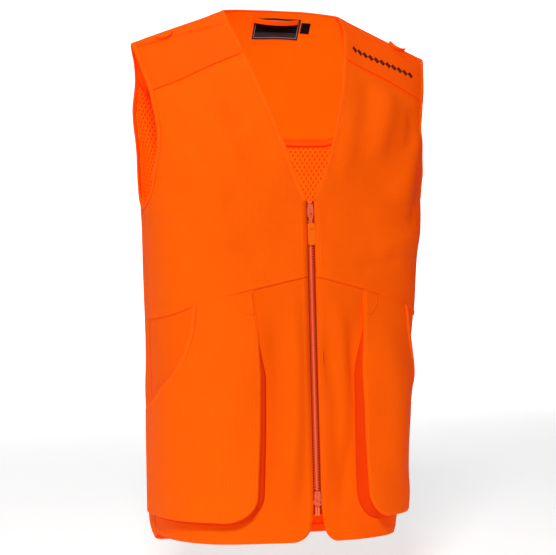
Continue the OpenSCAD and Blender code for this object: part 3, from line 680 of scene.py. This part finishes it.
def makeFrontYoke(sign):
    u, v = spread(80, 60)
    zIn, zOut = mix(676.0, 717.0, v), mix(617.5, 678.0, v)
    xIn, xOut = neckX(zIn) + 0.8, xAt(armFront(zOut), zOut)
    x = mix(xIn, xOut, u)
    x0, x1 = x[0], x[-1]
    low, high = yokeSeam(x0) - 1.5, crestAt(x1) - mix(20.0, 7.0, u[0])
    z = mix(low, high, v)
    turn = turnAt(x, z)
    out = 1.0 + 0.5 * np.exp(-((z - low) / 4) ** 2) - 0.7 * np.exp(-((high - z) / 5) ** 2)
    side = sideOf[sign]
    clothPiece(side + "FrontYoke", sign * turn, z, -1, out, yokeCloth, 1.0, "back", "shell", [side + "_front_yoke"])
    inner = slice(4, -3)
    flatRow("back", sign * turnAt(x0, yokeSeam(x0))[inner], (yokeSeam(x0) + 1.4)[inner], -1, 2.0)


# The back yoke goes over the shoulder line: its columns start on the forward shoulder seam, the neck's side and
# the back neck, and all end on the yoke's lower seam.
def makeBackYoke():
    a, b, c = np.linspace(0, 1, 46), np.linspace(0, 1, 12)[1:], np.linspace(0, np.pi / 2, 46)[1:]
    topX = np.concatenate([mix(207.0, 84.6, a), np.full(11, 84.6), 84.6 * np.cos(c)])
    topE = np.concatenate([mix(-6.0, -20.0, a), mix(-20.0, 0.6, b), backNeckDrop(84.6 * np.cos(c))])
    lowX = np.concatenate([mix(190.0, 100.0, a), mix(100.0, 88.0, b), mix(88.0, 0.0, np.linspace(0, 1, 46)[1:])])
    lowE = crestAt(lowX) - (568 + yokeRise(lowX))
    v = np.linspace(0, 1, 90)[:, None]
    e = mix(topE, lowE, v ** 1.7)
    x = mix(topX, lowX, v)
    side = np.where(e < 0, -1, 1)
    edge = x[:, :1].copy()
    for _ in range(6):
        z = crestAt(edge) - np.abs(e[:, :1])
        edge = xAt(np.where(e[:, :1] < 0, armFront(z), armBack(z)), z)
    x = x + (edge - x[:, :1]) * np.clip((x - 84.6) / (x[:, :1] - 84.6), 0, 1)
    z = crestAt(x) - np.abs(e)
    x = np.concatenate([-x[:, :-1], x[:, ::-1]], 1)
    z, side = (np.concatenate([q[:, :-1], q[:, ::-1]], 1) for q in (z, side))
    out = 0.7 + 0.5 * (v < 0.02) + 0 * x
    clothPiece("backYoke", turnAt(x, z), z, side, out, yokeCloth, 1.0, "back", "shell", ["back_yoke"], "hung")
    item = declared[-1][0]
    item.data.materials.append(yokeInside)
    item.modifiers["clothThickness"].material_offset = 1
    for sign in (1, -1):
        xx = np.linspace(96, 198, 60)
        seam = crestAt(xx) - mix(19.0, 5.5, (xx - 96) / 102)
        flatRow("back", sign * turnAt(xx, seam), seam + 1.2, -1, 1.9)


def backRow(u, v, top, sideTop, low, lowSide):
    sideZ = mix(sideTop, lowSide, v)
    edge = np.where(sideZ < 469, 90.0, armBack(sideZ))
    x = np.abs(xAt(62.0 * np.abs(u), 600.0))
    start = 568 + yokeRise(x) - top
    return edge * u, mix(start, low + (lowSide - low) * np.abs(u) ** 2.6, v)


def makeBack():
    u, v = np.meshgrid(np.linspace(-1, 1, 161), np.linspace(0, 1, 170))
    turn, z = backRow(u, v, -1.5, 644.0, 0.0, 22.0)
    clothPiece("backPanel", turn, z, 1, 0.1, shellCloth, 1.0, "back", "shell", ["back_panel"])
    x = np.linspace(-168, 168, 130)
    flatRow("back", turnAt(x, 570 + yokeRise(x)), 570.5 + yokeRise(x), 1, 1.4)
    uu = np.linspace(-0.99, 0.99, 160)
    flatRow("back", 90 * uu, 9 + 22 * np.abs(uu) ** 2.6, 1, 0.75)
    u, v = np.meshgrid(np.linspace(-1, 1, 121), np.linspace(0, 1, 8))
    clothPiece("backHemFacing", 88 * u, mix(11.5, 0.6, v) + 22 * np.abs(u) ** 2.6, 1, -1.5, wovenTape, 0.8, "back",
        "tape", ["back_hem_facing"])
    flatRow("back", 87 * uu, 9.8 + 22 * np.abs(uu) ** 2.6, 1, -2.1)
    x, k = np.meshgrid(np.linspace(-176, 176, 121), np.linspace(0, 1, 12))
    z = 573.5 + yokeRise(x) - 11.5 * k
    ridge = 0.5 * np.exp(-((k - 0.22) / 0.12) ** 2) + 0.5 * np.exp(-((k - 0.78) / 0.12) ** 2)
    clothPiece("yokeSeamTape", turnAt(x, z), z, 1, -2.1 - ridge, wovenTape, 1.0, "back", "tape", ["yoke_seam_tape"])
    for k in (0.22, 0.78):
        x = np.linspace(-174, 174, 130)
        z = 573.5 + yokeRise(x) - 11.5 * k
        flatRow("back", turnAt(x, z), z, 1, -3.2)


# Knitted mesh: diamond cells 7 mm wide and 11 mm high, each a ring of four quads about its hole, cut off
# straight at the lining's edges.
def makeLining():
    i, j = np.meshgrid(np.arange(-45, 46), np.arange(-2, 125))
    centre = np.stack([i * 7.0 + 3.5 * (j % 2), 20 + j * 5.5], -1).reshape(-1, 2)
    corners = np.array([[3.5, 0], [0, 5.5], [-3.5, 0], [0, -5.5]])
    rings = np.concatenate([corners, corners * np.array([0.5, 0.56])])
    cells = centre[:, None] + rings
    arcBack = bodyPoint(arcTurns, 400.0, 1, 0.0)
    lengths = np.concatenate([[0], np.cumsum(np.linalg.norm(np.diff(arcBack, axis=0), axis=1))])

    def limits(s, z):
        turn = np.interp(np.abs(s), lengths, arcTurns)
        x = xAt(turn, z)
        edge = np.minimum(88.5, armBack(z) - 1.2)
        return turn, edge, 561 + yokeRise(x), 60 + 14 * (turn / 90) ** 2.6
    turn, edge, high, low = limits(centre[:, 0], centre[:, 1])
    inside = (turn < edge) & (centre[:, 1] < high) & (centre[:, 1] > low)
    cells = cells[inside]
    s, z = cells[..., 0], cells[..., 1]
    turn, edge, high, low = limits(s, z)
    turn = np.minimum(turn, edge) * np.sign(s)
    z = np.clip(z, low, high)
    points = bodyPoint(turn, z, 1, -3.2)
    flat = np.stack([s, z], -1)
    count = len(cells)
    one = np.array([[0, 1, 5, 4], [1, 2, 6, 5], [2, 3, 7, 6], [3, 0, 4, 7]])
    faces = (one[None] + (np.arange(count) * 8)[:, None, None]).reshape(-1, 4)
    item = newMesh("backMeshLining", points, faces, flat)
    build = bmesh.new()
    build.from_mesh(item.data)
    bmesh.ops.remove_doubles(build, verts=build.verts, dist=0.00002)
    bmesh.ops.dissolve_degenerate(build, edges=build.edges, dist=0.00002)
    build.to_mesh(item.data)
    area = sum(face.calc_area() for face in build.faces)
    build.free()
    # The mesh lining's glow is painted light.
    finish(item, meshKnitLitThrough, False)
    wall = item.modifiers.new("yarnThickness", "SOLIDIFY")
    wall.thickness, wall.offset = 0.0008, 0
    place(item, "back", "mesh", "back_mesh_lining")


def makeBindings():
    neckMiddle, sleeve = (0, -20, 60), 205.0
    e = -62 * np.linspace(1, 0, 60) ** 2
    phi = np.linspace(0, np.pi / 2, 60)[1:]
    x = np.concatenate([neckX(737 + e), 84 * np.cos(phi)])
    z = np.concatenate([crestAt(84.0) + e, crestAt(84 * np.cos(phi)) - backNeckDrop(84 * np.cos(phi))])
    side = np.concatenate([np.full(60, -1), np.ones(59)])
    x, z, side = (np.concatenate([q, w * q[-2::-1]]) for q, w in ((x, -1), (z, 1), (side, 1)))
    bindEdge("backNeckBinding", turnAt(x, z), z, side, neckMiddle, bodyCut["bindingWide"], wovenTape, "back", "tape",
        ["back_neck_binding"], out=0.6)
    for sign in (1, -1):
        name = sideOf[sign]
        z = np.linspace(474, 674.3, 120)
        bindEdge(name + "NeckBinding", sign * turnAt(neckX(z), z), z, -1, neckMiddle, bodyCut["bindingWide"],
            wovenTape, name + "_chest", "tape", [name + "_neck_binding"], out=0.6)
        z = np.concatenate([[468.4, 468.4, 468.4], np.linspace(469, 618.6, 100)])
        turn = np.concatenate([[89.97, 89.6, 89.2], armFront(z[3:])])
        middle = (sign * sleeve, -22, -150)
        bindEdge(name + "ArmholeBinding", sign * turn, z, -1, middle, bodyCut["armBindingWide"], wovenTape,
            name + "_chest", "tape", [name + "_armhole_binding"])
        w = np.linspace(1, 0, 70)
        front = 685.2 - (685.2 - 619.6) * w ** 2
        back = (685.2 - (685.2 - 469.0) * w ** 2)[::-1][1:]
        z = np.concatenate([front, back, [468.4, 468.4, 468.4]])
        turn = np.concatenate([armFront(front), armBack(back), [89.2, 89.6, 89.97]])
        side = np.concatenate([np.full(70, -1), np.ones(72)])
        bindEdge(name + "BackArmholeBinding", sign * turn, z, side, middle, bodyCut["armBindingWide"], wovenTape,
            "back", "tape", [name + "_back_armhole_binding"])


def turned(points, degrees, axis):
    angle = math.radians(degrees)
    c, s = math.cos(angle), math.sin(angle)
    aboutX, aboutY = [[1, 0, 0], [0, c, -s], [0, s, c]], [[c, 0, s], [0, 1, 0], [-s, 0, c]]
    table = np.array(aboutX if axis == "x" else aboutY)
    return points @ table.T


def strapPiece(name, local, degrees, axis, move, material, slotName, node, thick):
    points = turned(local, degrees, axis) + np.array(move)
    s = np.concatenate([[0], np.cumsum(np.linalg.norm(np.diff(local[0], axis=0), axis=1))])
    w = np.linalg.norm(local[:, 0] - local[0, 0], axis=-1)
    flat = np.stack(np.broadcast_arrays(s[None], w[:, None]), -1)
    item = makeSheet(name, points, flat, material, thick)
    place(item, "back", slotName, node)
    declared.append((item, points, "hung", ()))
    return points


def makeNeckThings():
    u, w = np.meshgrid(np.linspace(-1, 1, 41), np.linspace(-1, 1, 7))
    local = np.stack([33.5 * u, -6.0 + 6.0 * np.abs(u) ** 2.2 - 0.25 * w * w, 3.5 * w], -1)
    strapPiece("hangLoop", local, 34.5, "x", (0, 30.05 - 30.2, 0), wovenTape, "tape", "hang_loop", 1.3)
    x, z = np.meshgrid(np.linspace(-30, 38, 41), np.linspace(0, 27, 19))
    height = 708.5 + z - 0.04 * np.abs(x)
    points = bodyPoint(turnAt(x, height), height, 1, -1.3)
    flat = np.stack([x + 30, z], -1)
    item = makeSheet("neckLabel", points, flat, wovenLabel, 0.7)
    place(item, "back", "label", "neck_label")
    declared.append((item, points, "hung", ()))
    x, z = np.meshgrid(np.linspace(40, 52.5, 13), np.linspace(0, 13.5, 13))
    height = 718 + z - 0.04 * x
    points = bodyPoint(turnAt(x, height), height, 1, -1.3)
    flat = np.stack([x + 400, z + 400], -1)
    item = makeSheet("sizeTag", points, flat, wovenLabel, 0.7)
    place(item, "back", "label", "size_tag")
    declared.append((item, points, "hung", ()))
    for sign in (1, -1):
        u, w = np.meshgrid(np.linspace(-1, 1, 33), np.linspace(-1, 1, 7))
        bow = 6.4 * (1 - np.abs(u) ** 2.4)
        local = turned(np.stack([12.7 * u, bow, 2.5 * w], -1), -135, "x")
        move = (sign * 171.5, -2.1 - 30.2, crestAt(171.5) - 1.2 - 730)
        strapPiece(sideOf[sign] + "ShoulderLoop", local, sign * 23, "y", move, wovenTape, "tape",
            sideOf[sign] + "_shoulder_loop", 1.1)


# The print: a plain row of linked diamonds.
def makePrint():
    flats, faces = [], []
    n = 5
    a, b = np.meshgrid(np.linspace(-1, 1, n), np.linspace(-1, 1, n))
    for i in range(11):
        q = (i + 0.5) / 11
        x, z = mix(90.0, 178.0, q), mix(689.0, 655.0, q)
        flats.append(np.stack([x + 2.1 * (a + b), z + 2.5 * (b - a) - 0.386 * 2.1 * (a + b)], -1).reshape(-1, 2))
        k = ((np.arange(n - 1)[:, None] * n + np.arange(n - 1)).ravel() + i * n * n)
        faces.append(np.stack([k, k + 1, k + n + 1, k + n], 1))
    flat = np.concatenate(flats)
    points = bodyPoint(turnAt(flat[:, 0], flat[:, 1]), flat[:, 1], -1, 1.62)
    item = finish(newMesh("shoulderPrint", points, np.concatenate(faces), flat), transferInk)
    wall = item.modifiers.new("inkThickness", "SOLIDIFY")
    wall.thickness, wall.offset = 0.0002, 0
    place(item, "back", "print", "shoulder_print")


leanAngle = math.atan(bodyCut["frontLean"])


zipLook = {"pitch": 3.6, "chainLow": 90.5, "chainHigh": 449.5, "tapeLow": 60.0, "tapeHigh": 473.0, "tapeWide": 15.0}


# Zip parts are worked out on the zip's own line: local z runs up the chain, local -y faces out.
def onZip(local):
    c, s = math.cos(leanAngle), math.sin(leanAngle)
    x, y, z = local[..., 0], local[..., 1], local[..., 2]
    return np.stack([x, y * c + z * s - 135, -y * s + z * c + bodyCut["frontHem"]], -1) - hookPoint


def upZip(z):
    return (z - bodyCut["frontHem"]) / math.cos(leanAngle)


def makeZip(sign):
    side = sideOf[sign]
    body = side + "_front"
    x, z = np.meshgrid(np.linspace(1.4, zipLook["tapeWide"], 12),
        np.linspace(upZip(zipLook["tapeLow"]), upZip(zipLook["tapeHigh"]), 120))
    points = onZip(np.stack([sign * x, 1.5 + 0 * x, z], -1))
    flat = np.stack([sign * x, z], -1)
    # The zip tape's deep red is painted shade for the gap beside the chain.
    item = makeSheet(side + "ZipTape", points, flat, zipTapeShadeWeave, 0.7)
    place(item, body, "tape", side + "_zip_tape")
    declared.append((item, points, "stretched", ()))
    # One tooth: an outline of a head, a waist and a foot gripping the cord, its faces' rims drawn in
    outline = np.array([[-1.45, -0.3], [-1.0, -0.56], [0.1, -0.34], [0.7, -0.6], [3.0, -0.6], [3.3, -0.34],
        [3.3, 0.34], [3.0, 0.6], [0.7, 0.6], [0.1, 0.34], [-1.0, 0.56], [-1.45, 0.3]])
    middle = outline.mean(0)
    levels = [(0.12, 0.72), (0.5, 1.0), (2.5, 1.0), (2.85, 0.72)]
    k = len(outline)
    one = np.concatenate([np.column_stack([sign * ((outline[:, 0] - middle[0]) * q + middle[0]), np.full(k, y),
        outline[:, 1] * (0.5 + 0.5 * q)]) for y, q in levels])
    start = upZip(zipLook["chainLow"]) + 1.3 + (0.9 + 0.9 if sign < 0 else 0)
    count = int((upZip(zipLook["chainHigh"]) - start - 0.8) // zipLook["pitch"]) + 1
    shift = np.zeros((count, 1, 3))
    shift[:, 0, 2] = start + zipLook["pitch"] * np.arange(count)
    points = onZip(one[None] + shift)
    ring = np.arange(k)
    after = (ring + 1) % k
    walls = [np.stack([ring + j * k, after + j * k, after + (j + 1) * k, ring + (j + 1) * k], 1) for j in range(3)]
    faces = np.concatenate(walls).tolist() + [ring[::-1].tolist(), (ring + 3 * k).tolist()]
    if sign > 0:
        faces = [f[::-1] for f in faces]
    everyFace = [[q + i * 4 * k for q in f] for i in range(count) for f in faces]
    item = newMesh(side + "ZipTeeth", points, everyFace)
    finish(item, mouldedAcetal, False)
    place(item, body, "zip_plastic", side + "_zip_teeth")
    angle = np.linspace(0, 2 * np.pi, 10, endpoint=False)
    z = np.linspace(upZip(62), upZip(472), 100)
    rings = np.stack(np.broadcast_arrays(sign * (2.3 + 0.7 * np.cos(angle))[None], (1.5 + 0.95 * np.sin(angle))[None],
        z[:, None]), -1)
    rings = onZip(rings)
    # The cord takes the zip tape's painted-shade colour.
    cordItem = makeTube(side + "TapeCord", rings, zipTapeShadeWeave, ringFlat(rings))
    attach(cordItem, body)


def carryOver(name, material, bevel=0.0004):
    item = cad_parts[name]
    item.data.materials.clear()
    item.data.materials.append(material)
    rim = item.modifiers.new("roundedEdges", "BEVEL")
    rim.width, rim.segments, rim.limit_method, rim.angle_limit = bevel, 3, "ANGLE", math.radians(40)


for sign in (1, -1):
    makeChest(sign)
    makeLower(sign)
    makePocket(sign)
    makeFrontYoke(sign)
    makeZip(sign)
print("fronts made")
makeBackYoke()
makeBack()
makeLining()
makeBindings()
makeNeckThings()
makePrint()
print("back, lining and bindings made")
for name in ("left_top_stop", "right_top_stop", "left_zip_pin", "right_zip_pin"):
    carryOver(name, mouldedAcetal, 0.0003)
for name in ("top_slider_front", "top_slider_back", "bottom_slider_front", "bottom_slider_back", "top_pull_link",
        "bottom_pull_ring"):
    carryOver(name, paintedZinc, 0.0003)
carryOver("top_pull_tab", softRubber, 0.0007)
for group in sorted(threadRows):
    item = makeThreads(group, group.replace("_", "") + "Stitches", polyThread)
    if group != "back":
        place(item, group, "shell")
    else:
        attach(item, group)
# The straps are left out of the size measure; they hang on the back with the yoke that they are sewn to.
# The straps are narrower than a sheet may be, so they go with the yoke that they are sewn to.
straps = [row[0] for row in declared if row[0].name in ("hangLoop", "leftShoulderLoop", "rightShoulderLoop")]
for item, points, held, restsOn in declared:
    if item not in straps:
        declareSheet(points)
print("threads made:", {group: sum(len(q) for q in rows) for group, rows in threadRows.items()})

# Stage: a pale floor and a lit pale wall far behind, a soft key from the front left above and two weak lights.
def flatBoard(name, corners, material):
    item = newMesh(name, np.array(corners, float) * 1000, [[0, 1, 2, 3]])
    return finish(item, material, False)


# Matt painted boards; the wall is lit from within as a light box is.
floorItem = flatBoard("paleFloor", [(-3.4, -0.6, -0.8), (3.4, -0.6, -0.8), (3.4, 3.4, -0.8), (-3.4, 3.4, -0.8)],
    newMaterial("mattPaintedFloor", "ececec", 0.9, 0.45, "ffffff"))
wallItem = flatBoard("paleWall", [(-3.4, 3.4, -0.8), (3.4, 3.4, -0.8), (3.4, 3.4, 2.4), (-3.4, 3.4, 2.4)],
    newMaterial("litBackWall", "ececec", 0.9, 0.9, "ffffff"))


def addLight(name, place, size, watts, colour="ffffff"):
    data = bpy.data.lights.new(name, "AREA")
    data.size, data.energy = size, watts
    data.color = lightOf(colour)[:3]
    item = bpy.data.objects.new(name, data)
    bpy.context.scene.collection.objects.link(item)
    item.location = place
    aim = np.array([0.0, 0.0, -0.36]) - np.array(place)
    item.rotation_euler = Vector(aim).to_track_quat("-Z", "Y").to_euler()
    return item


lights = [addLight("keyLight", (-1.0, -2.25, 1.0), 0.45, 61.0), addLight("sideLight", (-2.6, -0.6, 0.2), 1.0, 4.0),
    addLight("topLight", (0.1, 0.2, 2.0), 0.8, 13.0)]
world = bpy.data.worlds.new("paleSky")
bpy.context.scene.world = world
world.use_nodes = True
world.node_tree.nodes["Background"].inputs["Color"].default_value = (1, 1, 1, 1)
world.node_tree.nodes["Background"].inputs["Strength"].default_value = 0.05

cameraLook = {"target": (-0.0039, -0.0208, -0.359), "far": 2.45, "turn": 20.0, "lens": 114.2}
cameraData = bpy.data.cameras.new("mainCamera")
cameraData.lens, cameraData.sensor_width, cameraData.sensor_fit = cameraLook["lens"], 36.0, "HORIZONTAL"
cameraItem = bpy.data.objects.new("mainCamera", cameraData)
bpy.context.scene.collection.objects.link(cameraItem)
turnRad = math.radians(cameraLook["turn"])
wayBack = Vector((-math.sin(turnRad), -math.cos(turnRad), 0))
cameraItem.location = Vector(cameraLook["target"]) + cameraLook["far"] * wayBack
cameraItem.rotation_euler = (math.pi / 2, 0, -turnRad)
bpy.context.scene.camera = cameraItem
bpy.context.scene.view_settings.view_transform = "Standard"
